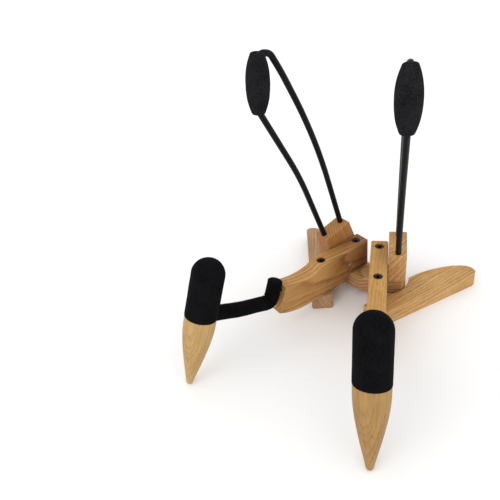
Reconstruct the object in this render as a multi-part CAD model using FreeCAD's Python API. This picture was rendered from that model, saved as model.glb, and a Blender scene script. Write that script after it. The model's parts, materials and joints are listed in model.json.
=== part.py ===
"""Folding timber guitar stand.

Two arms hinge on a hub under their rear ends and open into a V. Each arm carries a hook and a
foot peg at its front end, a rear leg underneath and a back block with a wire loop beside it.
Frame: +Z up, front of the stand facing -Y, mirror symmetric about X = 0, floor at Z = 0.
One side is drawn in the arm's own frame: x outward, y backward from the hub bolt, z up.
"""
import FreeCAD, Part
import math
import os

V = FreeCAD.Vector

# Timber
BOARD = 18.0            # thickness of every board
WASHER_GAP = 0.5        # space that a pivot washer keeps between two boards
EDGE_ROUND = 1.5        # rounding of the long timber edges
ARM_HEIGHT = 40.0
ARM_REAR_HEIGHT = 32.0  # where the arm is cut away over the hub
ARM_REAR = 9.8          # rear end of the arm behind the hub bolt
ARM_NOTCH_FOOT = 25.8   # ahead of the hub bolt, foot and head of the step over the hub
ARM_NOTCH_HEAD = 20.9
ARM_COVE = [(54.0, 0.0), (62.5, 2.7), (74.0, 5.0), (89.0, 4.4)]     # ahead of the bolt, below the arm's top
ARM_COVE_SLOPE = 0.12
ARM_BELLY = [(76.0, ARM_HEIGHT), (97.0, 37.6)]
ARM_BELLY_SLOPE = 0.62
HALF_ANGLE = 20.94      # each arm from straight ahead
HUB_BOLT_SPACING = 27.3
LEG_BOLT_AHEAD = 50.6   # leg bolt ahead of the hub bolt
HUB_LOBE_RADIUS = 31.0
HUB_NOTCH_GAP = 1.0
HUB_REAR = 9.0
HUB_REAR_CORNER = 12.0
HUB_NOSE = 21.5         # point of the hub's front edge ahead of the bolts
HUB_NOSE_SLOPE = 0.27
FOOTPRINT_MID = -78.226   # middle of the footprint, front to back, from the hub bolts

# Levels above the floor
LEG_TOP = BOARD
ARM_BOTTOM = LEG_TOP + WASHER_GAP
ARM_TOP = ARM_BOTTOM + ARM_HEIGHT
HUB_TOP = ARM_TOP - ARM_REAR_HEIGHT - WASHER_GAP
HUB_BOTTOM = HUB_TOP - BOARD

# Rear leg, along its straight edge from the pivot end and inward from that edge
LEG_ANGLE = 52.0        # open leg, outward from straight back along its arm
LEG_LENGTH = 134.0
LEG_WIDTH = 23.0        # at the pivot end
LEG_BOLT_ALONG = 11.3
LEG_BOLT_IN = 12.6
LEG_CORNER = 3.0        # corner radius at the pivot end
LEG_TOE = 6.0           # radius at the toe
LEG_TOE_FLAT = 8.0      # where the toe's flat end turns into the bulge
LEG_BULGE = [(123.5, 20.8), (104.0, 28.6), (83.4, 32.6), (60.0, 31.5), (36.0, 26.0), (18.0, LEG_WIDTH)]

# Back block, in its own frame: u forward and v up from its pivot bolt
BLOCK_LEAN = 8.5
BLOCK_PIVOT_AHEAD = 16.2
BLOCK_PIVOT_BELOW = 20.5
BLOCK_FRONT = 11.7
BLOCK_FRONT_TOP = 34.6
BLOCK_REAR = -21.8
BLOCK_REAR_TOP = 37.4
BLOCK_REAR_LEAN = 20.0  # rear face, from upright
BLOCK_STOP_GAP = 0.3    # above the hub at rest

# Wire loop, ahead of the hub bolt and above the arm's top
LOOP_WIRE = 5.8
LOOP_OUTWARD = 18.9     # plane of the loop beside the arm's middle, just clear of the foot cap
LOOP_HOLE_DEPTH = 22.0
LOOP_FRONT_FOOT = (28.6, 13.0)
LOOP_KNEE = (56.0, 94.5)
LOOP_SHOULDER = (94.8, 174.1)
LOOP_CORNER = (90.0, 222.0)
LOOP_CREST = (77.3, 218.5)
LOOP_REAR_UPPER = (67.0, 199.5)
LOOP_REAR_LOWER = (34.2, 128.4)
LOOP_REAR_FOOT = (5.0, 18.6)
LOOP_BENDS = [400.0, 20.0, 6.0, 9.0, 300.0, 600.0]
BUD_DIAMETER = 20.9
BUD_SHOULDER_DIAMETER = 19.2
BUD_SHOULDER_RISE = 13.3    # shoulders above and below the bud's middle
BUD_END_DIAMETER = 12.0
BUD_RIM_IN = 1.8
BUD_RIM_UP = 1.5
BUD_LENGTH = 51.0
BUD_BELOW_CORNER = 50.5

# Hook and foot, in the hook's frame: p along the bar, q up the foot, from the foot's seam
HOOK_TILT = 21.5
SEAM_AHEAD = 197.7
SEAM_ABOVE_FLOOR = 71.85
BAR_Q = 0.4
HOOK_WIRE = 6.0
HOOK_BEND = 7.0
HOOK_EMBED = 24.0
HOOK_IN_FOOT = 6.0      # rod past the foot's axis
BEND_SLACK = 0.01       # keeps a short straight between the rod's two bends
ARM_END_P = -92.2
ARM_END_TOP_Q = 20.1
ARM_END_LOW_Q = -10.1
UPRIGHT_P = -83.2
UPRIGHT_TOP_Q = 25.7
SLEEVE_DIAMETER = 15.0
SLEEVE_BEND = 8.5
SLEEVE_STOP = 5.0       # the uncut sleeve stops this far short of the foot's axis
FOOT_RADIUS = 15.3
CAP_RADIUS = 15.65
CAP_STRAIGHT = 44.0
CAP_EDGE_ROUND = 0.8
TENON_RADIUS = 11.5
TENON_LENGTH = 50.0
TIP_RADIUS = 3.4
TIP_FLANK = 12.5        # slope of the peg's flank where it meets the tip, in degrees
PEG_TAPER = [(15.05, -14.0), (12.5, -33.2), (8.1, -54.2)]

# M5 socket screws and lock nuts
SCREW = 5.0
RUNNING_GAP = 0.05
HEAD_DIAMETER = 9.0
HEAD_HEIGHT = 5.0
HEAD_ROUND = 0.5
HEAD_SOCKET_FLATS = 4.0
HEAD_SOCKET_DEPTH = 2.5
COUNTERBORE = 9.8
COUNTERBORE_DEPTH = 6.0
HEAD_SEAT_GAP = 0.1
NUT_FLATS = 8.0
NUT_HEIGHT = 5.0
NUT_POCKET_DEPTH = 6.5
SCREW_END = 0.8         # screw end inside the pocket's mouth
WASHER_DIAMETER = 14.0
WASHER_THICKNESS = 0.45
CUT_PAST = 1.0          # cuts run on past the face they open

HOOK_SIN = math.sin(math.radians(HOOK_TILT))
HOOK_COS = math.cos(math.radians(HOOK_TILT))
LEAN_SIN = math.sin(math.radians(BLOCK_LEAN))
LEAN_COS = math.cos(math.radians(BLOCK_LEAN))


def side_point(ahead, height, outward=0.0):
    """A point given ahead of the hub bolt, above the floor and outward from the arm's middle."""
    return V(outward, -ahead, height)


def hook_point(p, q):
    """A point in the hook's frame."""
    ahead = SEAM_AHEAD + p * HOOK_COS - q * HOOK_SIN
    return side_point(ahead, SEAM_ABOVE_FLOOR + p * HOOK_SIN + q * HOOK_COS)


def block_point(u, v, outward=0.0):
    """A point in the back block's frame."""
    ahead = BLOCK_PIVOT_AHEAD + u * LEAN_COS + v * LEAN_SIN
    height = ARM_TOP - BLOCK_PIVOT_BELOW - u * LEAN_SIN + v * LEAN_COS
    return side_point(ahead, height, outward)


def leg_point(along, inward, height=0.0):
    """A point on the open rear leg."""
    turn = math.radians(LEG_ANGLE)
    a = V(math.sin(turn), math.cos(turn), 0)
    b = V(-math.cos(turn), math.sin(turn), 0)
    pivot = V(0, -LEG_BOLT_AHEAD, height)
    return pivot + a * (along - LEG_BOLT_ALONG) + b * (inward - LEG_BOLT_IN)


def spline(points, start=None, end=None):
    """A smooth edge through points, with end tangents where they are given."""
    curve = Part.BSplineCurve()
    if start and end:
        curve.interpolate(points, InitialTangent=start, FinalTangent=end)
    else:
        curve.interpolate(points)
    return curve.toShape()


def prism(edges, travel):
    """A solid swept straight from a closed outline."""
    wire = Part.Wire(Part.__sortEdges__(edges))
    return Part.Face(wire).extrude(travel)


def polygon_prism(points, travel):
    """A straight-sided solid."""
    wire = Part.makePolygon(points + [points[0]])
    return Part.Face(wire).extrude(travel)


def bent_path(points, bends):
    """Straight runs joined by tangent arcs, one bend radius for each inner point."""
    edges = []
    last = points[0]
    for i, radius in enumerate(bends, start=1):
        corner = points[i]
        back = (points[i - 1] - corner).normalize()
        on = (points[i + 1] - corner).normalize()
        half = back.getAngle(on) / 2
        reach = radius / math.tan(half)
        start = corner + back * reach
        end = corner + on * reach
        middle = (back + on).normalize()
        centre = corner + middle * (radius / math.sin(half))
        if start.distanceToPoint(last) > 1e-6:
            edges.append(Part.LineSegment(last, start).toShape())
        edges.append(Part.Arc(start, centre - middle * radius, end).toShape())
        last = end
    edges.append(Part.LineSegment(last, points[-1]).toShape())
    return Part.Wire(edges)


def rod(path, diameter):
    """Round bar along a path."""
    start = path.Edges[0].valueAt(path.Edges[0].FirstParameter)
    heading = path.Edges[0].tangentAt(path.Edges[0].FirstParameter)
    section = Part.Wire(Part.makeCircle(diameter / 2, start, heading))
    return path.makePipeShell([section], True, False)


def rounded(solid, radius, wanted):
    """Rounds the edges that the test picks."""
    return solid.makeFillet(radius, [e for e in solid.Edges if wanted(e)])


def hexagon(flats, height, base, axis):
    """A hexagonal prism."""
    across = flats / math.sqrt(3)
    points = [V(across * math.cos(math.radians(60 * i)), across * math.sin(math.radians(60 * i)), 0)
              for i in range(6)]
    shape = polygon_prism(points, V(0, 0, height))
    shape.Placement = FreeCAD.Placement(base, FreeCAD.Rotation(V(0, 0, 1), axis))
    return shape


class Pivot:
    """One screw pivot: a head recessed in the arm, a nut trapped in the board it holds."""

    def __init__(self, face, axis, board, far):
        self.face = face
        self.axis = axis
        self.board = board
        self.far = far

    def at(self, depth):
        return self.face + self.axis * depth

    def arm_cut(self):
        bore = Part.makeCylinder(SCREW / 2 + RUNNING_GAP, self.far, self.face, self.axis)
        sink = Part.makeCylinder(COUNTERBORE / 2, COUNTERBORE_DEPTH + CUT_PAST, self.at(-CUT_PAST), self.axis)
        return bore.fuse(sink)

    def board_cut(self):
        bore = Part.makeCylinder(SCREW / 2, self.far, self.face, self.axis)
        start = self.far - NUT_POCKET_DEPTH
        pocket = hexagon(NUT_FLATS, NUT_POCKET_DEPTH + CUT_PAST, self.at(start), self.axis)
        return bore.fuse(pocket)

    def screw(self):
        seat = COUNTERBORE_DEPTH - HEAD_SEAT_GAP
        head = Part.makeCylinder(HEAD_DIAMETER / 2, HEAD_HEIGHT, self.at(seat - HEAD_HEIGHT), self.axis)
        top = self.at(seat - HEAD_HEIGHT)
        head = rounded(head, HEAD_ROUND, lambda e: (e.CenterOfMass - top).Length < 0.1)
        shank = Part.makeCylinder(SCREW / 2, self.far - SCREW_END - seat, self.at(seat), self.axis)
        socket = hexagon(HEAD_SOCKET_FLATS, HEAD_SOCKET_DEPTH, self.at(seat - HEAD_HEIGHT), self.axis)
        return head.fuse(shank).removeSplitter().cut(socket)

    def nut(self):
        start = self.far - NUT_POCKET_DEPTH
        body = hexagon(NUT_FLATS, NUT_HEIGHT, self.at(start), self.axis)
        return body.cut(Part.makeCylinder(SCREW / 2, self.far, self.face, self.axis))

    def washer(self):
        base = self.at(self.board - WASHER_THICKNESS)
        ring = Part.makeCylinder(WASHER_DIAMETER / 2, WASHER_THICKNESS, base, self.axis)
        return ring.cut(Part.makeCylinder(SCREW / 2 + RUNNING_GAP, WASHER_THICKNESS, base, self.axis))


DOWN = V(0, 0, -1)
OUT = V(1, 0, 0)
HUB_PIVOT = Pivot(V(0, 0, ARM_TOP), DOWN, ARM_TOP - HUB_TOP, ARM_TOP - HUB_BOTTOM)
LEG_PIVOT = Pivot(V(0, -LEG_BOLT_AHEAD, ARM_TOP), DOWN, ARM_TOP - LEG_TOP, ARM_TOP)
BLOCK_PIVOT = Pivot(block_point(0, 0, -BOARD / 2), OUT, BOARD + WASHER_GAP, 2 * BOARD + WASHER_GAP)


def hook_rod():
    """Steel rod: out of the arm's end, down, then along the bar into the foot."""
    entry_q = BAR_Q + 2 * HOOK_BEND
    points = [hook_point(ARM_END_P - HOOK_EMBED, entry_q), hook_point(UPRIGHT_P, entry_q),
              hook_point(UPRIGHT_P, BAR_Q), hook_point(HOOK_IN_FOOT, BAR_Q)]
    radius = HOOK_BEND - BEND_SLACK
    return rod(bent_path(points, [radius, radius]), HOOK_WIRE)


def peg_blank():
    """Turned timber peg about +Z, its seam at the origin, tip down, tenon up."""
    tip_z = (TIP_RADIUS - SEAM_ABOVE_FLOOR) / HOOK_COS
    lean = math.radians(TIP_FLANK)
    tip_start = V(TIP_RADIUS * math.cos(lean), 0, tip_z - TIP_RADIUS * math.sin(lean))
    tip_mid = V(TIP_RADIUS * math.cos(math.radians(50)), 0, tip_z - TIP_RADIUS * math.sin(math.radians(50)))
    tip_end = V(0, 0, tip_z - TIP_RADIUS)
    flank = [V(FOOT_RADIUS, 0, 0)] + [V(r, 0, z) for r, z in PEG_TAPER] + [tip_start]
    edges = [spline(flank, V(0, 0, -1), V(-math.sin(lean), 0, -math.cos(lean))),
             Part.Arc(tip_start, tip_mid, tip_end).toShape()]
    outline = [tip_end, V(0, 0, TENON_LENGTH), V(TENON_RADIUS, 0, TENON_LENGTH), V(TENON_RADIUS, 0, 0),
               V(FOOT_RADIUS, 0, 0)]
    edges += [Part.LineSegment(a, b).toShape() for a, b in zip(outline[:-1], outline[1:])]
    return Part.Face(Part.Wire(Part.__sortEdges__(edges))).revolve(V(0, 0, 0), V(0, 0, 1), 360)


def cap_blank():
    """Foam cap about +Z: a tube closed by a dome, over the tenon."""
    tube = Part.makeCylinder(CAP_RADIUS, CAP_STRAIGHT)
    tube = rounded(tube, CAP_EDGE_ROUND, lambda e: e.BoundBox.ZMax < 1e-6)
    dome = Part.makeSphere(CAP_RADIUS, V(0, 0, CAP_STRAIGHT), V(0, 0, 1), 0, 90, 360)
    return tube.fuse(dome).removeSplitter()


def stand_foot(shape):
    """Tilts a foot piece from +Z onto the foot's axis."""
    shape.Placement = FreeCAD.Placement(hook_point(0, 0), FreeCAD.Rotation(V(1, 0, 0), -HOOK_TILT))
    return shape


def arm_blank():
    """Side outline of the arm, extruded to its thickness."""
    top_end = hook_point(ARM_END_P, ARM_END_TOP_Q)
    low_end = hook_point(ARM_END_P, ARM_END_LOW_Q)

    def at(ahead, drop):
        return side_point(ahead, ARM_TOP - drop)

    cove = spline([at(*place) for place in ARM_COVE] + [top_end], V(0, -1, 0), V(0, -1, ARM_COVE_SLOPE))
    belly = spline([at(*place) for place in ARM_BELLY] + [low_end], V(0, -1, 0), V(0, -1, ARM_BELLY_SLOPE))
    corners = [at(*ARM_BELLY[0]), at(ARM_NOTCH_FOOT, ARM_HEIGHT), at(ARM_NOTCH_HEAD, ARM_REAR_HEIGHT),
               at(-ARM_REAR, ARM_REAR_HEIGHT), at(-ARM_REAR, 0.0), at(*ARM_COVE[0])]
    edges = [cove, belly, Part.LineSegment(top_end, low_end).toShape()]
    edges += [Part.LineSegment(a, b).toShape() for a, b in zip(corners[:-1], corners[1:])]
    solid = prism(edges, V(BOARD, 0, 0))
    solid.translate(V(-BOARD / 2, 0, 0))
    return rounded(solid, EDGE_ROUND, lambda e: e.BoundBox.XLength < 1e-6)


def rear_leg():
    """Leaf-shaped board with a straight outer edge and a notch round the hub's lobe."""
    corner = LEG_CORNER
    toe = LEG_TOE
    bulge = [leg_point(LEG_LENGTH, LEG_TOE_FLAT)] + [leg_point(a, b) for a, b in LEG_BULGE]
    side = leg_point(1, 0) - leg_point(0, 0)
    inward = leg_point(0, 1) - leg_point(0, 0)
    slant = math.sqrt(0.5)

    def quarter(start, middle, end):
        return Part.Arc(start, middle, end).toShape()

    edges = [
        Part.LineSegment(leg_point(corner, 0), leg_point(LEG_LENGTH - toe, 0)).toShape(),
        quarter(leg_point(LEG_LENGTH - toe, 0),
                leg_point(LEG_LENGTH - toe + toe * slant, toe - toe * slant), leg_point(LEG_LENGTH, toe)),
        Part.LineSegment(leg_point(LEG_LENGTH, toe), bulge[0]).toShape(),
        spline(bulge, inward, side * -1),
        Part.LineSegment(bulge[-1], leg_point(corner, LEG_WIDTH)).toShape(),
        quarter(leg_point(corner, LEG_WIDTH),
                leg_point(corner - corner * slant, LEG_WIDTH - corner + corner * slant),
                leg_point(0, LEG_WIDTH - corner)),
        Part.LineSegment(leg_point(0, LEG_WIDTH - corner), leg_point(0, corner)).toShape(),
        quarter(leg_point(0, corner), leg_point(corner - corner * slant, corner - corner * slant),
                leg_point(corner, 0)),
    ]
    solid = prism(edges, V(0, 0, BOARD))
    notch = Part.makeCylinder(HUB_LOBE_RADIUS + HUB_NOTCH_GAP, BOARD)
    solid = solid.cut(notch)
    solid = rounded(solid, EDGE_ROUND, lambda e: e.BoundBox.ZMin > BOARD - 1e-6)
    return solid.cut(LEG_PIVOT.board_cut())


def block_blank():
    """Back block: flat stop under its rear, rounded under its front to clear the hub as it folds."""
    inner = BOARD / 2 + WASHER_GAP
    stop_height = HUB_TOP + BLOCK_STOP_GAP
    pivot = block_point(0, 0, inner)
    low = side_point(BLOCK_PIVOT_AHEAD, stop_height, inner)
    front_low = block_point(BLOCK_FRONT, 0, inner)
    turn = math.radians(-45 - BLOCK_LEAN / 2)
    mid = pivot + V(0, -math.cos(turn), math.sin(turn)) * BLOCK_FRONT
    rear_top = block_point(BLOCK_REAR, BLOCK_REAR_TOP, inner)
    rear_run = (rear_top.z - stop_height) * math.tan(math.radians(BLOCK_REAR_LEAN))
    rear_low = rear_top + V(0, rear_run, stop_height - rear_top.z)
    front_top = block_point(BLOCK_FRONT, BLOCK_FRONT_TOP, inner)
    outline = [front_low, front_top, rear_top, rear_low, low]
    edges = [Part.LineSegment(a, b).toShape() for a, b in zip(outline[:-1], outline[1:])]
    edges.append(Part.Arc(low, mid, front_low).toShape())
    solid = prism(edges, V(BOARD, 0, 0))
    return rounded(solid, EDGE_ROUND / 2, lambda e: True)


def wire_point(place):
    """A point on the wire loop's centre line."""
    return side_point(place[0], ARM_TOP + place[1], LOOP_OUTWARD)


def loop_path():
    """Centre line of the wire loop, from the foot of one hole to the foot of the other."""
    front = wire_point(LOOP_FRONT_FOOT)
    rear = wire_point(LOOP_REAR_FOOT)
    inner = [wire_point(place) for place in (LOOP_KNEE, LOOP_SHOULDER, LOOP_CORNER, LOOP_CREST,
                                             LOOP_REAR_UPPER, LOOP_REAR_LOWER)]
    start = front + (front - inner[0]).normalize() * LOOP_HOLE_DEPTH
    end = rear + (rear - inner[-1]).normalize() * LOOP_HOLE_DEPTH
    return bent_path([start] + inner + [end], LOOP_BENDS)


def bud_blank():
    """Foam bud on the loop's upright, a spindle with rounded ends."""
    half = BUD_LENGTH / 2
    end = BUD_END_DIAMETER / 2
    shoulder = BUD_SHOULDER_DIAMETER / 2
    flank = [V(end, 0, BUD_RIM_UP - half), V(shoulder, 0, -BUD_SHOULDER_RISE), V(BUD_DIAMETER / 2, 0, 0),
             V(shoulder, 0, BUD_SHOULDER_RISE), V(end, 0, half - BUD_RIM_UP)]
    outline = [flank[-1], V(end - BUD_RIM_IN, 0, half), V(0, 0, half), V(0, 0, -half),
               V(end - BUD_RIM_IN, 0, -half), flank[0]]
    edges = [spline(flank)]
    edges += [Part.LineSegment(a, b).toShape() for a, b in zip(outline[:-1], outline[1:])]
    solid = Part.Face(Part.Wire(Part.__sortEdges__(edges))).revolve(V(0, 0, 0), V(0, 0, 1), 360)
    corner = wire_point(LOOP_CORNER)
    up = (corner - wire_point(LOOP_SHOULDER)).normalize()
    middle = corner - up * (BUD_BELOW_CORNER - half)
    solid.Placement = FreeCAD.Placement(middle, FreeCAD.Rotation(V(0, 0, 1), up))
    return solid


def hook_sleeve(rod_solid, foot):
    """Foam tube over the hook: the upright at the arm's end and the bar to the foot."""
    points = [hook_point(UPRIGHT_P, UPRIGHT_TOP_Q), hook_point(UPRIGHT_P, BAR_Q),
              hook_point(-SLEEVE_STOP, BAR_Q)]
    tube = rod(bent_path(points, [SLEEVE_BEND]), SLEEVE_DIAMETER)
    return tube.cut(rod_solid).cut(foot)


def side_parts():
    """Every piece of one side, in the arm's own frame."""
    steel_hook = hook_rod()
    peg = stand_foot(peg_blank())
    cap = stand_foot(cap_blank())
    steel_loop = rod(loop_path(), LOOP_WIRE)
    arm = arm_blank()
    for pivot in (HUB_PIVOT, LEG_PIVOT, BLOCK_PIVOT):
        arm = arm.cut(pivot.arm_cut())
    return {
        "arm": arm.cut(steel_hook),
        "rear_leg": rear_leg(),
        "back_block": block_blank().cut(BLOCK_PIVOT.board_cut()).cut(steel_loop),
        "back_loop": steel_loop,
        "back_bud": bud_blank().cut(steel_loop),
        "hook_rod": steel_hook,
        "hook_sleeve": hook_sleeve(steel_hook, cap.fuse(peg)),
        "foot_peg": peg.cut(steel_hook),
        "foot_cap": cap.cut(peg).cut(steel_hook),
        "hub_screw": HUB_PIVOT.screw(),
        "hub_nut": HUB_PIVOT.nut(),
        "hub_washer": HUB_PIVOT.washer(),
        "leg_screw": LEG_PIVOT.screw(),
        "leg_nut": LEG_PIVOT.nut(),
        "leg_washer": LEG_PIVOT.washer(),
        "block_screw": BLOCK_PIVOT.screw(),
        "block_nut": BLOCK_PIVOT.nut(),
        "block_washer": BLOCK_PIVOT.washer(),
    }


def place_right(shape):
    """Moves a piece from the arm's own frame to the right-hand arm."""
    placed = shape.copy()
    placed.rotate(V(0, 0, 0), V(0, 0, 1), HALF_ANGLE)
    placed.translate(V(HUB_BOLT_SPACING / 2, -FOOTPRINT_MID, 0))
    return placed


def mirrored(shape):
    return shape.mirror(V(0, 0, 0), V(1, 0, 0))


def hub_block():
    """Board under the arms' rear ends: a lobe about each bolt, a straight back, a blunt nose."""
    half = HUB_BOLT_SPACING / 2
    rear_x = half + math.sqrt(HUB_LOBE_RADIUS ** 2 - HUB_REAR ** 2)
    a = 1 + HUB_NOSE_SLOPE ** 2
    b = half + HUB_NOSE * HUB_NOSE_SLOPE
    c = half ** 2 + HUB_NOSE ** 2 - HUB_LOBE_RADIUS ** 2
    front_x = (b + math.sqrt(b ** 2 - a * c)) / a

    def at(x, y):
        return V(x, y - FOOTPRINT_MID, HUB_BOTTOM)

    edges = [Part.LineSegment(at(-rear_x, HUB_REAR), at(rear_x, HUB_REAR)).toShape()]
    for side in (-1, 1):
        shoulder = at(side * front_x, HUB_NOSE_SLOPE * front_x - HUB_NOSE)
        edges.append(Part.LineSegment(at(0, -HUB_NOSE), shoulder).toShape())
        lobe = Part.Arc(shoulder, at(side * (half + HUB_LOBE_RADIUS), 0), at(side * rear_x, HUB_REAR))
        edges.append(lobe.toShape())
    solid = prism(edges, V(0, 0, BOARD))
    rear = HUB_REAR - FOOTPRINT_MID - 1e-6
    solid = rounded(solid, HUB_REAR_CORNER, lambda e: e.BoundBox.YMin > rear and e.BoundBox.XLength < 1e-6)
    solid = rounded(solid, EDGE_ROUND, lambda e: e.BoundBox.ZLength < 1e-6)
    cut = place_right(HUB_PIVOT.board_cut())
    return solid.cut(cut).cut(mirrored(cut))


def main():
    os.makedirs("parts", exist_ok=True)
    nodes = {"hub_block": hub_block()}
    for name, shape in side_parts().items():
        right = place_right(shape)
        nodes["right_" + name] = right
        nodes["left_" + name] = mirrored(right)
    points = [point for shape in nodes.values() for point in shape.tessellate(0.05)[0]]
    for axis in "xyz":
        values = [getattr(point, axis) for point in points]
        print(axis, "from", round(min(values), 3), "to", round(max(values), 3))
    for name, shape in nodes.items():
        if not shape.isValid() or shape.Volume <= 0:
            print("bad solid", name)
        shape.exportStep("parts/" + name + ".step")


main()
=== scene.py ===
"""Looks for the folding timber guitar stand, in metres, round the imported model.

Timber, wire and screws are the model's own nodes with procedural materials. Every foam part is a
mesh of its own. A side is drawn in its arm's frame: x outward, y backward from the hub bolt, z up.
"""

import json
import math

import bmesh
import bpy
from mathutils import Matrix, Quaternion, Vector, noise


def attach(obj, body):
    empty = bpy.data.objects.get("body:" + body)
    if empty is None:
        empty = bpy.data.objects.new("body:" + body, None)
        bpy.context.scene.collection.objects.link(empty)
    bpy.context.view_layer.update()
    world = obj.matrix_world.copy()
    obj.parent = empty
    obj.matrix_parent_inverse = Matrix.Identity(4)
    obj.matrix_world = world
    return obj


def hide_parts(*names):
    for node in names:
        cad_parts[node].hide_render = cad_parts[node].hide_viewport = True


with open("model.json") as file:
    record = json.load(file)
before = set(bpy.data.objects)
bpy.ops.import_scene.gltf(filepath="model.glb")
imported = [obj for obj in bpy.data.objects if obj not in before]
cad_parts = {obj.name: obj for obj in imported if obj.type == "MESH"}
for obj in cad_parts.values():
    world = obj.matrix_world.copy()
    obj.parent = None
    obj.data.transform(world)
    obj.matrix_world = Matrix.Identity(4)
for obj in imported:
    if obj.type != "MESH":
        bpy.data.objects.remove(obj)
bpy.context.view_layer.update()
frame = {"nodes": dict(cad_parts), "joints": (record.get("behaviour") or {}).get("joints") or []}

MM = 0.001
SIDES = {"left": -1, "right": 1}
HALF_ANGLE = math.radians(20.94)
ARM_TOP = 58.5 * MM
LEG_ANGLE = math.radians(52)
BLOCK_LEAN = math.radians(8.5)

# Hook and foot, in the hook's frame: p along the bar, q up the foot, from the foot's seam
HOOK_TILT = math.radians(21.5)
SEAM_AHEAD = 197.7 * MM
SEAM_HEIGHT = 71.85 * MM
BAR_Q = 0.4 * MM
UPRIGHT_P = -83.2 * MM
UPRIGHT_TOP_Q = 25.7 * MM
TENON_RADIUS = 11.5 * MM
TENON_LENGTH = 50.0 * MM

# Wire loop: its front run goes from the shoulder up to the corner, as (ahead, above the arm)
LOOP_OUTWARD = 18.9 * MM
LOOP_SHOULDER = (94.8 * MM, 174.1 * MM)
LOOP_CORNER = (90.0 * MM, 222.0 * MM)
WIRE_RADIUS = 2.9 * MM

# Foam: the angle over which an edge of it is drawn sharp
SHARP_ANGLE = math.radians(50)

CAP_RADIUS = 15.65 * MM
CAP_STRAIGHT = 44.0 * MM
CAP_LIP = 0.8 * MM
CAP_PLAY = 0.1 * MM
CAP_OFF_SEAM = 0.05 * MM
CAP_STEPS = 16
CAP_SEED = {"left": 3.0, "right": 8.0}

BUD_RADIUS = 10.4 * MM
BUD_END_RADIUS = 6.0 * MM
BUD_LENGTH = 51.0 * MM
BUD_BELOW_CORNER = 50.5 * MM
BUD_SWELL_POWER = 2.35
BUD_CORNER = 1.6 * MM
BUD_DIMPLE = 1.2 * MM
BUD_THROAT = 0.8 * MM
BUD_LIP = 0.4 * MM
BUD_PLAY = 0.25 * MM
BUD_STEPS = 40
BUD_SEGMENTS = 80
BUD_SEED = {"left": 5.0, "right": 12.0}

SLEEVE_RADIUS = 7.5 * MM
SLEEVE_BEND = 8.5 * MM
SLEEVE_SAG = 1.2 * MM
SLEEVE_RIM = 0.8 * MM
SLEEVE_RIM_DROP = 0.7 * MM
SLEEVE_HAIR = 0.01 * MM
SLEEVE_SEGMENTS = 64
UPRIGHT_STEPS = 12
BEND_STEPS = 40
BAR_STEPS = 30
SLEEVE_SEED = {"left": 2.0, "right": 9.0}

# The sleeve's folds at its bend: each one's half-width in radians, and its part of the radius
MID_BEND = math.pi / 4
PINCH_WIDTH = 0.13
PINCH_INSIDE = 0.30
PINCH_SIDE = 0.09
BUNCH_OFF_MIDDLE = 0.42
BUNCH_WIDTH = 0.24
BUNCH_INSIDE = 0.07
ELBOW_WIDTH = 0.45
ELBOW_OUTSIDE = 0.20

# The camera: its aim, where it stands round that aim, and its tilt
CAMERA_AIM = Vector((-103.3, 4.386, 67.8)) * MM
CAMERA_AZIMUTH = math.radians(38.56)
CAMERA_ELEVATION = math.radians(35.64)
CAMERA_ROLL = math.radians(8.48)
CAMERA_DISTANCE = 579.0 * MM
CAMERA_LENS = 38.55
CAMERA_SENSOR = 36
CAMERA_NEAR = 0.01
CAMERA_FAR = 50

# The studio: a sheet of pale paper, a white world, and wide lamps, each as the way its light travels,
# its spread in degrees and its strength
FLOOR_REACH = 6.0
FLOOR_TONE = 0.93
FLOOR_ROUGHNESS = 0.9
WORLD_STRENGTH = 1.0
LAMP_DISTANCE = 1.5
LAMPS = {
    "key": ((0.30, 0.90, -0.80), 50, 0.65),
    "fill": ((-0.90, 0.35, -0.35), 60, 0.50),
}


def grey(value):
    return (value,) * 3


# Oak: the colours of one growth ring, of its open pores and of the darker tone towards a board's origin
LATE_WOOD = (0.60, 0.365, 0.150)
MID_WOOD = (0.50, 0.285, 0.105)
EARLY_WOOD = (0.30, 0.145, 0.045)
PORE = (0.15, 0.07, 0.025)
ORIGIN_DARK_TONE = (0.50, 0.40, 0.36)
RING_STOPS = [(0.0, LATE_WOOD), (0.10, EARLY_WOOD), (0.34, MID_WOOD), (0.80, LATE_WOOD),
              (1.0, LATE_WOOD)]

# Rings: how far their widths and their edges stray, in rings, and how strongly each one is drawn
RING_SPREAD = 2.4
RING_SPREAD_SCALE = 0.22
RING_EDGE = 0.45
RING_LEAST = 0.3
RING_RANGE = 0.8

# Pores: the noise above which one opens, how fast they thin out over a ring, and how dark they are
PORE_LEVEL = 0.61
PORE_FADE = 1.3
PORE_DARKNESS = 0.5

# The edge of the darkening towards a board's origin strays with the clouds, by this much of its reach
ORIGIN_DARK_WANDER = 1.2

# Oiled surface: least roughness, how much the fibres add, shine, and relief of the fibres
OAK_ROUGHNESS = 0.42
OAK_ROUGHNESS_RANGE = 0.22
OAK_SPECULAR = 0.22
FIBRE_RELIEF = 0.5

# Tones that multiply the wood's colour, each between two values of its own noise
STREAK_STOPS = [(0.30, (0.86, 0.83, 0.78)), (0.68, (1.08, 1.07, 1.05))]
FIBRE_STOPS = [(0.30, grey(0.84)), (0.66, grey(1.06))]
CLOUD_STOPS = [(0.3, (0.87, 0.82, 0.74)), (0.7, (1.07, 1.06, 1.05))]
RAY_STOPS = [(0.57, grey(0.0)), (0.66, grey(1.0))]
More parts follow.
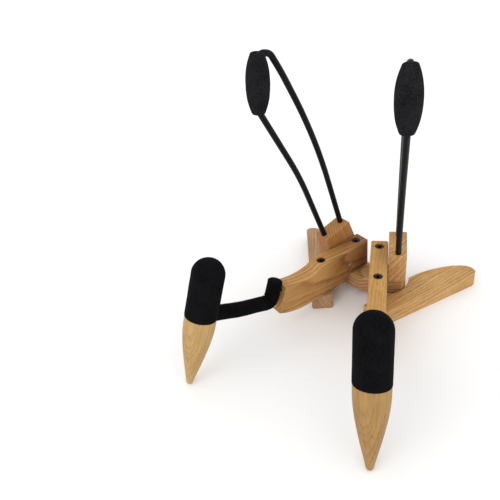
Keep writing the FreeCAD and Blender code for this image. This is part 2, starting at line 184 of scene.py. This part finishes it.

# How each board was sawn and its tint. ring is a growth ring's width, pith_depth the distance to
# the middle of the tree, tilt the grain's angle to the board in degrees. The tint, set piece by piece,
# is partly the board's own tone and partly painted light and shade. The rest is told at oak().
ARM_LOOK = {
    "left": {"ring": 3.8 * MM, "pith_depth": 22 * MM, "tilt": -6, "contrast": 1.0,
             "tone_and_painted_light": (0.92, 0.86, 0.78), "waver": 6 * MM, "darken_to_origin": (1.0, 52 * MM)},
    "right": {"ring": 3.0 * MM, "pith_depth": 70 * MM, "tilt": 2, "contrast": 0.55,
              "tone_and_painted_light": (1.02, 1.02, 0.88), "darken_to_origin": (0.30, 26 * MM)},
}
LEG_LOOK = {
    "left": {"ring": 2.8 * MM, "pith_depth": 30 * MM, "tilt": 5, "contrast": 0.7,
             "tone_and_painted_light": (0.80, 0.87, 1.28)},
    "right": {"ring": 2.5 * MM, "pith_depth": 15 * MM, "tilt": 6, "contrast": 0.85,
              "tone_and_painted_light": (1.12, 1.18, 1.24), "waver": 15 * MM, "stretch": 0.4, "fleck": 0.22},
}
BLOCK_LOOK = {
    "left": {"ring": 2.3 * MM, "pith_depth": 34 * MM, "tilt": 12, "contrast": 1.2,
             "tone_and_painted_light": (0.80, 0.67, 0.58)},
    "right": {"ring": 2.8 * MM, "pith_depth": 20 * MM, "tilt": 14, "contrast": 1.0,
              "tone_and_painted_light": (1.0, 0.99, 1.08)},
}
PEG_LOOK = {
    "left": {"ring": 2.0 * MM, "pith_depth": 150 * MM, "tilt": 0.5, "contrast": 0.30,
             "tone_and_painted_light": (1.0, 1.15, 1.28), "waver": 2 * MM},
    "right": {"ring": 2.0 * MM, "pith_depth": 150 * MM, "tilt": -0.5, "contrast": 0.30,
              "tone_and_painted_light": (0.78, 0.83, 0.82), "waver": 2 * MM},
}
HUB_LOOK = {"ring": 3.2 * MM, "pith_depth": 24 * MM, "tilt": 10, "contrast": 1.3,
            "tone_and_painted_light": (0.95, 0.94, 1.14)}

# Each board's node, short name, grain, way to the pith and looks; directions are in the arm's frame
BOARDS = (
    ("arm", "arm", (0, -1, 0), (1, 0, -0.35), ARM_LOOK),
    ("rear_leg", "leg", (math.sin(LEG_ANGLE), math.cos(LEG_ANGLE), 0), (0.3, 0, -1), LEG_LOOK),
    ("back_block", "block", (0, -math.sin(BLOCK_LEAN), math.cos(BLOCK_LEAN)), (-0.4, 1, 0), BLOCK_LOOK),
    ("foot_peg", "peg", (0, math.sin(HOOK_TILT), math.cos(HOOK_TILT)), (-0.4, -1, 0), PEG_LOOK),
)
HUB_GRAIN = Vector((1, 0, 0))
HUB_PITH = Vector((0, -0.6, -1))
HUB_ORIGIN = Vector((0, 80, 17)) * MM


# ---------------------------------------------------------------- places

def side_point(ahead, height, outward):
    """A point given ahead of the hub bolt, above the floor and outward from the arm's middle."""
    return Vector((outward, -ahead, height))


def hook_point(p, q, outward=0.0):
    """The same from a place in the hook's frame."""
    ahead = SEAM_AHEAD + p * math.cos(HOOK_TILT) - q * math.sin(HOOK_TILT)
    height = SEAM_HEIGHT + p * math.sin(HOOK_TILT) + q * math.cos(HOOK_TILT)
    return side_point(ahead, height, outward)


def to_side(side):
    """Matrix from the arm's own frame to one side of the stand."""
    hinge = next(j for j in frame["joints"] if j["name"] == "right_arm_close")
    bolt = Vector(hinge["pos_m"])
    place = Matrix.Translation(Vector((bolt.x, bolt.y, 0))) @ Matrix.Rotation(HALF_ANGLE, 4, "Z")
    return Matrix.Scale(SIDES[side], 4, Vector((1, 0, 0))) @ place


def side_vector(side, direction):
    """A direction in the arm's frame, turned onto one side."""
    return (to_side(side).to_3x3() @ Vector(direction)).normalized()


# ---------------------------------------------------------------- mesh helpers

def circle(radius, segments):
    turns = [math.tau * i / segments for i in range(segments)]
    return [(radius * math.cos(t), radius * math.sin(t)) for t in turns]


def arc_points(centre, radius, start, end, count):
    """Points on an arc in (radius, height) space, angles in degrees."""
    turns = [math.radians(start + (end - start) * i / (count - 1)) for i in range(count)]
    return [(centre[0] + radius * math.cos(t), centre[1] + radius * math.sin(t)) for t in turns]


def add_ring(bm, points):
    return [bm.verts.new(p) for p in points]


def bridge(bm, ring_a, ring_b):
    """A band of four-sided faces between two rings."""
    count = len(ring_a)
    for i in range(count):
        j = (i + 1) % count
        bm.faces.new((ring_a[i], ring_a[j], ring_b[j], ring_b[i]))


def bridge_all(bm, rings):
    for ring_a, ring_b in zip(rings[:-1], rings[1:]):
        bridge(bm, ring_a, ring_b)


def lathe(profile, segments=96):
    """A closed solid of revolution about +Z from (radius, height) points, on the axis at both ends."""
    bm = bmesh.new()
    rings = [add_ring(bm, [Vector((x, y, height)) for x, y in circle(radius, segments)])
             for radius, height in profile[1:-1]]
    bridge_all(bm, rings)
    first = bm.verts.new((0, 0, profile[0][1]))
    last = bm.verts.new((0, 0, profile[-1][1]))
    for i in range(segments):
        j = (i + 1) % segments
        bm.faces.new((first, rings[0][j], rings[0][i]))
        bm.faces.new((last, rings[-1][i], rings[-1][j]))
    return bm


def roughen(bm, size, depth, seed):
    """Moves every point a little along its normal, so foam isn't perfectly turned."""
    bm.normal_update()
    offset = Vector((seed, 0.37 * seed, 1.7 * seed))
    for v in bm.verts:
        v.co += v.normal * noise.noise(v.co / size + offset) * depth


def stand_on(bm, origin, up):
    """Turns a piece drawn about +Z so that it stands at origin along up."""
    outward = Vector((1, 0, 0))
    z = up.normalized()
    x = (outward - z * outward.dot(z)).normalized()
    y = z.cross(x)
    turn = Matrix((x, y, z)).transposed().to_4x4()
    bmesh.ops.transform(bm, matrix=Matrix.Translation(origin) @ turn, verts=bm.verts)


def finish_foam(name, bm, side, material, body, node):
    """Turns a mesh drawn in the arm's frame into a padded piece that stands in for a node."""
    bmesh.ops.transform(bm, matrix=to_side(side), verts=bm.verts)
    if SIDES[side] < 0:
        bmesh.ops.reverse_faces(bm, faces=bm.faces)
    piece_name = f"{side}_{name}"
    mesh = bpy.data.meshes.new(piece_name)
    bm.to_mesh(mesh)
    bm.free()
    mesh.shade_smooth()
    mesh.set_sharp_from_angle(angle=SHARP_ANGLE)
    mesh.materials.append(material)
    piece = bpy.data.objects.new(piece_name, mesh)
    bpy.context.scene.collection.objects.link(piece)
    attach(piece, f"{side}_{body}")
    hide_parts(f"{side}_{node}")


# ---------------------------------------------------------------- material helpers

class Shader:
    """A material's node tree, with short ways to add and link nodes."""

    def __init__(self, name):
        self.material = bpy.data.materials.new(name)
        self.material.use_nodes = True
        self.tree = self.material.node_tree
        self.surface = self.tree.nodes["Principled BSDF"]

    def add(self, kind, **settings):
        node = self.tree.nodes.new(kind)
        for key, value in settings.items():
            setattr(node, key, value)
        return node

    def link(self, source, target):
        self.tree.links.new(source, target)

    def place(self):
        """The piece's own coordinates, which ride with it."""
        return self.add("ShaderNodeTexCoord").outputs["Object"]

    def math(self, operation, a, b=None, c=None, clamp=False):
        node = self.add("ShaderNodeMath", operation=operation, use_clamp=clamp)
        for socket, value in zip(node.inputs, (a, b, c)):
            if value is None:
                continue
            if isinstance(value, (int, float)):
                socket.default_value = value
            else:
                self.link(value, socket)
        return node.outputs[0]

    def vector(self, operation, a, b=None):
        node = self.add("ShaderNodeVectorMath", operation=operation)
        for socket, value in zip(node.inputs, (a, b)):
            if value is None:
                continue
            if isinstance(value, tuple):
                socket.default_value = value
            else:
                self.link(value, socket)
        return node.outputs["Value"] if operation in ("LENGTH", "DOT_PRODUCT") else node.outputs[0]

    def noise(self, vector, scale, detail=2.0, rough=0.5, output="Fac"):
        node = self.add("ShaderNodeTexNoise")
        node.inputs["Scale"].default_value = scale
        node.inputs["Detail"].default_value = detail
        node.inputs["Roughness"].default_value = rough
        self.link(vector, node.inputs["Vector"])
        return node.outputs[output]

    def noise_along(self, value, scale, detail):
        """Noise that changes with a single value."""
        node = self.add("ShaderNodeTexNoise", noise_dimensions="1D")
        node.inputs["Scale"].default_value = scale
        node.inputs["Detail"].default_value = detail
        self.link(value, node.inputs["W"])
        return node.outputs["Fac"]

    def ramp(self, value, stops):
        node = self.add("ShaderNodeValToRGB")
        elements = node.color_ramp.elements
        while len(elements) < len(stops):
            elements.new(0.5)
        for element, (place, colour) in zip(elements, stops):
            element.position = place
            element.color = (*colour, 1.0)
        self.link(value, node.inputs["Fac"])
        return node.outputs["Color"]

    def mix(self, factor, a, b, blend="MIX"):
        """A colour between a and b. The node has a socket of each name for every type of data."""
        node = self.add("ShaderNodeMix", data_type="RGBA", blend_type=blend)
        wanted = (("Factor", "VALUE", factor), ("A", "RGBA", a), ("B", "RGBA", b))
        for name, kind, value in wanted:
            socket = next(s for s in node.inputs if s.name == name and s.type == kind)
            if isinstance(value, (int, float)):
                socket.default_value = value
            elif isinstance(value, tuple):
                socket.default_value = (*value, 1.0)
            else:
                self.link(value, socket)
        return next(s for s in node.outputs if s.type == "RGBA")

    def shade(self, colour, tone):
        return self.mix(1.0, colour, tone, "MULTIPLY")

    def paint(self, colour, roughness):
        self.link(colour, self.surface.inputs["Base Color"])
        self.link(roughness, self.surface.inputs["Roughness"])

    def specular(self, level):
        self.surface.inputs["Specular IOR Level"].default_value = level

    def bump(self, height, distance, strength):
        node = self.add("ShaderNodeBump")
        node.inputs["Distance"].default_value = distance
        node.inputs["Strength"].default_value = strength
        self.link(height, node.inputs["Height"])
        self.link(node.outputs["Normal"], self.surface.inputs["Normal"])


# ---------------------------------------------------------------- oak

def board_place(s, grain, pith, origin, tilt):
    """Coordinates in a board's own axes: along the grain, sideways, and in to the pith."""
    along = grain.normalized()
    inward = (pith - along * pith.dot(along)).normalized()
    sideways = inward.cross(along)
    along = (Quaternion(sideways, math.radians(tilt)) @ along).normalized()
    axes = Matrix((along, sideways, along.cross(sideways)))
    place = s.add("ShaderNodeMapping")
    place.inputs["Rotation"].default_value = axes.to_euler("XYZ")
    place.inputs["Location"].default_value = -(axes @ origin)
    s.link(s.place(), place.inputs["Vector"])
    return place.outputs["Vector"]


def stretched(s, p, along, inward=1.0):
    """Coordinates that change slowly along the grain, so that a noise on them is drawn out."""
    return s.vector("MULTIPLY", p, (along, 1.0, inward))


def wandered(s, p, waver, stretch):
    """Coordinates that stray from the straight by up to half of waver across the grain."""
    wander = s.noise(stretched(s, p, stretch), scale=24.0, detail=2.5, output="Color")
    shift = s.vector("SUBTRACT", wander, (0.5, 0.5, 0.5))
    return s.vector("ADD", p, s.vector("MULTIPLY", shift, (0.0, waver, waver)))


def ring_phase(s, p, bent, ring, pith_depth):
    """Growth rings counted out from the pith, of uneven width and with a fine rough edge."""
    flat = s.vector("MULTIPLY", bent, (0.0, 1.0, 1.0))
    radius = s.vector("LENGTH", s.vector("SUBTRACT", flat, (0.0, 0.0, pith_depth)))
    spread = s.noise_along(radius, scale=RING_SPREAD_SCALE / ring, detail=1.0)
    fine = s.noise(stretched(s, p, 0.05), scale=800.0, detail=3.0)
    phase = s.math("ADD", s.math("DIVIDE", radius, ring), s.math("MULTIPLY", fine, RING_EDGE))
    return s.math("ADD", phase, s.math("MULTIPLY", spread, RING_SPREAD))


def oak(name, grain, pith, origin, ring, pith_depth, tilt, tone_and_painted_light, contrast,
        waver=10 * MM, stretch=0.15, fleck=0.0, darken_to_origin=None):
    """Oiled oak. grain runs along the board, pith points from the board to the tree's middle.

    contrast sets the rings off. waver is how far they stray, and stretch how fast they do so along the
    board. fleck draws short rays across the grain. The darkening, as strength and reach, deepens the
    board towards its origin.
    """
    s = Shader(name)
    p = board_place(s, grain, pith, origin, tilt)
    bent = wandered(s, p, waver, stretch)

    # Growth rings, each with a strength of its own
    phase = ring_phase(s, p, bent, ring, pith_depth)
    tooth = s.math("FRACT", phase)
    number = s.add("ShaderNodeTexWhiteNoise", noise_dimensions="1D")
    s.link(s.math("FLOOR", phase), number.inputs["W"])
    strength = s.math("MULTIPLY_ADD", number.outputs["Value"], RING_RANGE * contrast,
                      RING_LEAST * contrast)
    colour = s.mix(strength, MID_WOOD, s.ramp(tooth, RING_STOPS))

    # Streaks, fibres and open pores, long along the grain. Pores are drawn in the early wood.
    streak = s.noise(stretched(s, p, 0.03), scale=420.0, detail=3.0, rough=0.6)
    colour = s.shade(colour, s.ramp(streak, STREAK_STOPS))
    fibre = s.noise(stretched(s, p, 0.035), scale=2400.0, detail=3.0, rough=0.6)
    colour = s.shade(colour, s.ramp(fibre, FIBRE_STOPS))
    pores = s.noise(stretched(s, p, 0.07), scale=1300.0, detail=1.0)
    near_early = s.math("SUBTRACT", 1.0, s.math("MULTIPLY", tooth, PORE_FADE), clamp=True)
    open_pore = s.math("MULTIPLY", s.math("GREATER_THAN", pores, PORE_LEVEL), near_early)
    colour = s.mix(s.math("MULTIPLY", open_pore, PORE_DARKNESS), colour, PORE)

    # Clouds, flecks, the darkening towards the origin, and the tint, which is partly the board's own
    # tone and partly painted light and shade
    cloud = s.noise(stretched(s, p, 0.45), scale=38.0, detail=2.0)
    colour = s.shade(colour, s.ramp(cloud, CLOUD_STOPS))
    if fleck:
        rays = s.noise(stretched(s, p, 1.0, inward=0.14), scale=560.0, detail=1.5)
        drawn = s.ramp(rays, RAY_STOPS)
        colour = s.mix(s.math("MULTIPLY", drawn, fleck), colour, PORE)
    # Darker towards the board's origin, over the given reach
    if darken_to_origin:
        amount, reach = darken_to_origin
        distance = s.vector("DOT_PRODUCT", bent, (1.0 / reach, 0.0, 0.0))
        stray = s.math("MULTIPLY_ADD", cloud, ORIGIN_DARK_WANDER, -ORIGIN_DARK_WANDER / 2)
        depth = s.math("SUBTRACT", 1.0, s.math("ADD", distance, stray), clamp=True)
        colour = s.mix(s.math("MULTIPLY", depth, amount), colour, s.shade(colour, ORIGIN_DARK_TONE))
    # Painted light and shade: each piece's tint lifts or darkens it by how light fell on it, as well as
    # giving its own tone
    colour = s.shade(colour, tone_and_painted_light)

    s.paint(colour, s.math("MULTIPLY_ADD", fibre, OAK_ROUGHNESS_RANGE, OAK_ROUGHNESS))
    s.specular(OAK_SPECULAR)
    relief = s.math("SUBTRACT", s.math("MULTIPLY", fibre, FIBRE_RELIEF), open_pore)
    s.bump(relief, distance=0.10 * MM, strength=0.5)
    return s.material


# ---------------------------------------------------------------- foam and metal

def foam(name, tone):
    """Matte closed-cell foam with a fine skin of cells, paler as tone rises."""
    s = Shader(name)
    p = s.place()
    cells = s.add("ShaderNodeTexVoronoi", feature="F1")
    cells.inputs["Scale"].default_value = 1300.0
    s.link(p, cells.inputs["Vector"])
    grain = s.noise(p, scale=900.0, detail=3.0, rough=0.6)
    cloud = s.noise(p, scale=70.0)
    dark = tuple(c * tone for c in (0.0024, 0.0024, 0.0028))
    pale = tuple(c * tone for c in (0.0085, 0.0086, 0.0098))
    blotch = s.math("ADD", s.math("MULTIPLY", grain, 0.7), s.math("MULTIPLY", cloud, 0.3))
    s.link(s.ramp(blotch, [(0.36, dark), (0.66, pale)]), s.surface.inputs["Base Color"])
    s.surface.inputs["Roughness"].default_value = 0.75
    s.specular(0.02)
    skin = s.math("ADD", s.math("MULTIPLY", cells.outputs["Distance"], 0.8), grain)
    s.bump(skin, distance=0.12 * MM, strength=0.8)
    return s.material


def coated_wire():
    """Black semi-gloss coating on bent rod, with a faint orange-peel."""
    s = Shader("coated_wire")
    p = s.place()
    peel = s.noise(p, scale=900.0)
    cloud = s.noise(p, scale=60.0)
    colour = s.ramp(cloud, [(0.3, (0.0035, 0.0034, 0.0030)), (0.7, (0.0065, 0.0062, 0.0055))])
    s.paint(colour, s.ramp(peel, [(0.3, grey(0.26)), (0.7, grey(0.38))]))
    s.specular(0.10)
    s.bump(peel, distance=0.05 * MM, strength=0.4)
    return s.material


def black_oxide():
    """Black oxide on socket screws."""
    s = Shader("black_oxide")
    speck = s.noise(s.place(), scale=1800.0, detail=3.0)
    colour = s.ramp(speck, [(0.3, grey(0.003)), (0.75, (0.009, 0.009, 0.008))])
    s.paint(colour, s.ramp(speck, [(0.3, grey(0.34)), (0.7, grey(0.52))]))
    s.specular(0.25)
    s.bump(speck, distance=0.04 * MM, strength=0.4)
    return s.material


def zinc_plate():
    """Zinc-plated screws, nuts and washers, lightly brushed."""
    s = Shader("zinc_plate")
    brushed = s.noise(s.vector("MULTIPLY", s.place(), (1.0, 0.08, 1.0)), scale=2200.0)
    colour = s.ramp(brushed, [(0.3, grey(0.50)), (0.7, (0.72, 0.72, 0.74))])
    s.paint(colour, s.ramp(brushed, [(0.3, grey(0.24)), (0.7, grey(0.38))]))
    s.surface.inputs["Metallic"].default_value = 1.0
    s.bump(brushed, distance=0.03 * MM, strength=0.4)
    return s.material


# ---------------------------------------------------------------- foam pieces

def foot_cap(side, material):
    """Domed foam cap, open below round the peg's tenon."""
    wall = TENON_RADIUS + CAP_PLAY
    roof = TENON_LENGTH + CAP_OFF_SEAM
    lip_radius = CAP_RADIUS - CAP_LIP
    profile = [(0, roof), (wall, roof), (wall, CAP_OFF_SEAM), (lip_radius, CAP_OFF_SEAM)]
    profile += arc_points((lip_radius, CAP_LIP + CAP_OFF_SEAM), CAP_LIP, start=-70, end=0, count=5)
    profile += [(CAP_RADIUS, CAP_STRAIGHT * i / CAP_STEPS) for i in range(1, CAP_STEPS + 1)]
    profile += arc_points((0, CAP_STRAIGHT), CAP_RADIUS, start=3, end=88, count=30)
    profile.append((0, CAP_STRAIGHT + CAP_RADIUS))
    bm = lathe(profile)
    roughen(bm, size=9 * MM, depth=0.12 * MM, seed=CAP_SEED[side])
    seam = hook_point(0, 0)
    stand_on(bm, seam, hook_point(0, 1) - seam)
    finish_foam("cap_foam", bm, side, material, "arm", "foot_cap")


def bud(side, material):
    """Barrel of foam on the loop's front run, with a dimple where the wire comes out of each end."""
    half = BUD_LENGTH / 2
    rim_radius = BUD_END_RADIUS - BUD_CORNER
    flank_half = half - BUD_CORNER * 0.8
    flank = []
    for i in range(BUD_STEPS + 1):
        h = -1 + 2 * i / BUD_STEPS
        swell = 1 - abs(h) ** BUD_SWELL_POWER
        radius = BUD_END_RADIUS + (BUD_RADIUS - BUD_END_RADIUS) * swell
        flank.append((radius, h * flank_half))
    low = arc_points((rim_radius, -half + BUD_CORNER), BUD_CORNER, start=-90, end=-25, count=6)
    hole = WIRE_RADIUS + BUD_PLAY
    throat = [(hole, half - BUD_DIMPLE), (hole + BUD_THROAT, half - BUD_DIMPLE / 2),
              (rim_radius - BUD_LIP, half)]
    profile = [(0, -half + BUD_DIMPLE)] + [(r, -h) for r, h in throat] + low + flank
    profile += [(r, -h) for r, h in reversed(low)] + throat[::-1] + [(0, half - BUD_DIMPLE)]
    bm = lathe(profile, BUD_SEGMENTS)
    roughen(bm, size=7 * MM, depth=0.12 * MM, seed=BUD_SEED[side])
    corner = side_point(LOOP_CORNER[0], ARM_TOP + LOOP_CORNER[1], LOOP_OUTWARD)
    shoulder = side_point(LOOP_SHOULDER[0], ARM_TOP + LOOP_SHOULDER[1], LOOP_OUTWARD)
    up = (corner - shoulder).normalized()
    stand_on(bm, corner - up * (BUD_BELOW_CORNER - half), up)
    finish_foam("bud_foam", bm, side, material, "back", "back_bud")


def sleeve_path():
    """Stations down the upright, round the bend and along the bar: p, q and how far it has turned."""
    stations = []
    top = UPRIGHT_TOP_Q - SLEEVE_HAIR
    low = BAR_Q + SLEEVE_BEND
    for i in range(UPRIGHT_STEPS + 1):
        stations.append((UPRIGHT_P, top + (low - top) * i / UPRIGHT_STEPS, 0.0))
    centre_p = UPRIGHT_P + SLEEVE_BEND
    for i in range(1, BEND_STEPS):
        turn = math.radians(90 * i / BEND_STEPS)
        p = centre_p - SLEEVE_BEND * math.cos(turn)
        stations.append((p, low - SLEEVE_BEND * math.sin(turn), turn))
    for i in range(BAR_STEPS + 1):
        p = centre_p + (-CAP_RADIUS - centre_p) * i / BAR_STEPS
        sag = SLEEVE_SAG * math.sin(math.pi * i / BAR_STEPS) ** 2
        stations.append((p, BAR_Q - sag, math.pi / 2))
    return stations


def fold(off_middle, width):
    return math.exp(-(off_middle / width) ** 2)


def sleeve_ring(p, q, turn, at_cap):
    """One ring of the sleeve, pinched and bunched on the inside of the bend and stretched outside.

    The last ring, at_cap, follows the round of the foot's cap.
    """
    inside = Vector((math.cos(turn), math.sin(turn)))
    off_middle = turn - MID_BEND
    pinch = fold(off_middle, PINCH_WIDTH)
    bunch = fold(abs(off_middle) - BUNCH_OFF_MIDDLE, BUNCH_WIDTH)
    elbow = fold(off_middle, ELBOW_WIDTH)
    ring = []
    for i in range(SLEEVE_SEGMENTS):
        angle = math.tau * i / SLEEVE_SEGMENTS
        inward = max(0.0, math.cos(angle))
        outer = max(0.0, -math.cos(angle))
        side_on = abs(math.sin(angle))
        radius = SLEEVE_RADIUS * (1 - PINCH_INSIDE * pinch * inward - PINCH_SIDE * pinch * side_on
                                  + BUNCH_INSIDE * bunch * inward + ELBOW_OUTSIDE * elbow * outer)
        across = radius * math.cos(angle)
        outward = radius * math.sin(angle)
        ring_p = -math.sqrt(CAP_RADIUS ** 2 - outward ** 2) if at_cap else p + inside.x * across
        ring.append(hook_point(ring_p, q + inside.y * across, outward))
    return ring


def hook_sleeve(side, material):
    """Foam tube over the hook, from its square top down, round the bend and along to the cap."""
    bm = bmesh.new()
    stations = sleeve_path()
    rings = [add_ring(bm, sleeve_ring(*station, at_cap=station is stations[-1]))
             for station in stations]
    bridge_all(bm, rings)
    top = [hook_point(UPRIGHT_P + across, UPRIGHT_TOP_Q, outward)
           for across, outward in circle(SLEEVE_RADIUS - SLEEVE_RIM, SLEEVE_SEGMENTS)]
    top_ring = add_ring(bm, top)
    for v in rings[0]:
        v.co += hook_point(0, -SLEEVE_RIM_DROP) - hook_point(0, 0)
    bridge(bm, top_ring, rings[0])
    bm.faces.new(reversed(top_ring))
    bm.faces.new(rings[-1])
    bmesh.ops.recalc_face_normals(bm, faces=bm.faces)
    roughen(bm, size=6 * MM, depth=0.15 * MM, seed=SLEEVE_SEED[side])
    finish_foam("sleeve_foam", bm, side, material, "arm", "hook_sleeve")


# ---------------------------------------------------------------- materials onto the model's nodes

def give(node, material):
    target = frame["nodes"][node]
    target.data.materials.clear()
    target.data.materials.append(material)


def dress_timber():
    give("hub_block", oak("oak_hub", HUB_GRAIN, HUB_PITH, HUB_ORIGIN, **HUB_LOOK))
    for side in SIDES:
        bolt = to_side(side) @ Vector((0, 0, ARM_TOP))
        seam = to_side(side) @ hook_point(0, 0)
        for node, short, grain, pith, looks in BOARDS:
            origin = seam if node == "foot_peg" else bolt
            give(f"{side}_{node}", oak(f"oak_{short}_{side}", side_vector(side, grain),
                                       side_vector(side, pith), origin, **looks[side]))


def dress_metal():
    wire = coated_wire()
    black = black_oxide()
    plated = zinc_plate()
    for side in SIDES:
        for node in ("back_loop", "hook_rod"):
            give(f"{side}_{node}", wire)
        for pivot in ("hub", "leg", "block"):
            give(f"{side}_{pivot}_screw", plated if pivot == "block" else black)
            give(f"{side}_{pivot}_nut", plated)
            give(f"{side}_{pivot}_washer", plated)


def dress_foam():
    cap_foam = foam("cap_foam", 1.0)
    bud_foam = foam("bud_foam", 2.4)
    sleeve_foam = foam("sleeve_foam", 0.75)
    for side in SIDES:
        foot_cap(side, cap_foam)
        bud(side, bud_foam)
        hook_sleeve(side, sleeve_foam)


# ---------------------------------------------------------------- studio and camera

def lay_floor():
    mesh = bpy.data.meshes.new("floor")
    corners = [(-FLOOR_REACH, -FLOOR_REACH, 0), (FLOOR_REACH, -FLOOR_REACH, 0),
               (FLOOR_REACH, FLOOR_REACH, 0), (-FLOOR_REACH, FLOOR_REACH, 0)]
    mesh.from_pydata(corners, [], [(0, 1, 2, 3)])
    floor = bpy.data.objects.new("floor", mesh)
    bpy.context.scene.collection.objects.link(floor)
    paper = Shader("floor_paper")
    paper.surface.inputs["Base Color"].default_value = (*grey(FLOOR_TONE), 1)
    paper.surface.inputs["Roughness"].default_value = FLOOR_ROUGHNESS
    mesh.materials.append(paper.material)


def light_studio():
    world = bpy.data.worlds.new("studio")
    world.use_nodes = True
    background = world.node_tree.nodes["Background"]
    background.inputs["Color"].default_value = (1.0, 1.0, 1.0, 1)
    background.inputs["Strength"].default_value = WORLD_STRENGTH
    bpy.context.scene.world = world
    for name, (travel, spread, strength) in LAMPS.items():
        lamp = bpy.data.lights.new(name, "SUN")
        lamp.angle = math.radians(spread)
        lamp.energy = strength
        holder = bpy.data.objects.new(name, lamp)
        holder.location = Vector(travel) * -LAMP_DISTANCE
        holder.rotation_mode = "QUATERNION"
        holder.rotation_quaternion = Vector(travel).to_track_quat("-Z", "Y")
        bpy.context.scene.collection.objects.link(holder)


def set_camera():
    lens = bpy.data.cameras.new("camera")
    lens.lens = CAMERA_LENS
    lens.sensor_width = CAMERA_SENSOR
    lens.clip_start = CAMERA_NEAR
    lens.clip_end = CAMERA_FAR
    holder = bpy.data.objects.new("camera", lens)
    flat = math.cos(CAMERA_ELEVATION)
    back = Vector((math.sin(CAMERA_AZIMUTH) * flat, -math.cos(CAMERA_AZIMUTH) * flat,
                   math.sin(CAMERA_ELEVATION)))
    holder.location = CAMERA_AIM + back * CAMERA_DISTANCE
    holder.rotation_mode = "QUATERNION"
    holder.rotation_quaternion = (-back).to_track_quat("-Z", "Y") @ Quaternion((0, 0, 1), -CAMERA_ROLL)
    bpy.context.scene.collection.objects.link(holder)
    bpy.context.scene.camera = holder
    bpy.context.scene.view_settings.view_transform = "Standard"


dress_timber()
dress_metal()
dress_foam()
lay_floor()
light_studio()
set_camera()
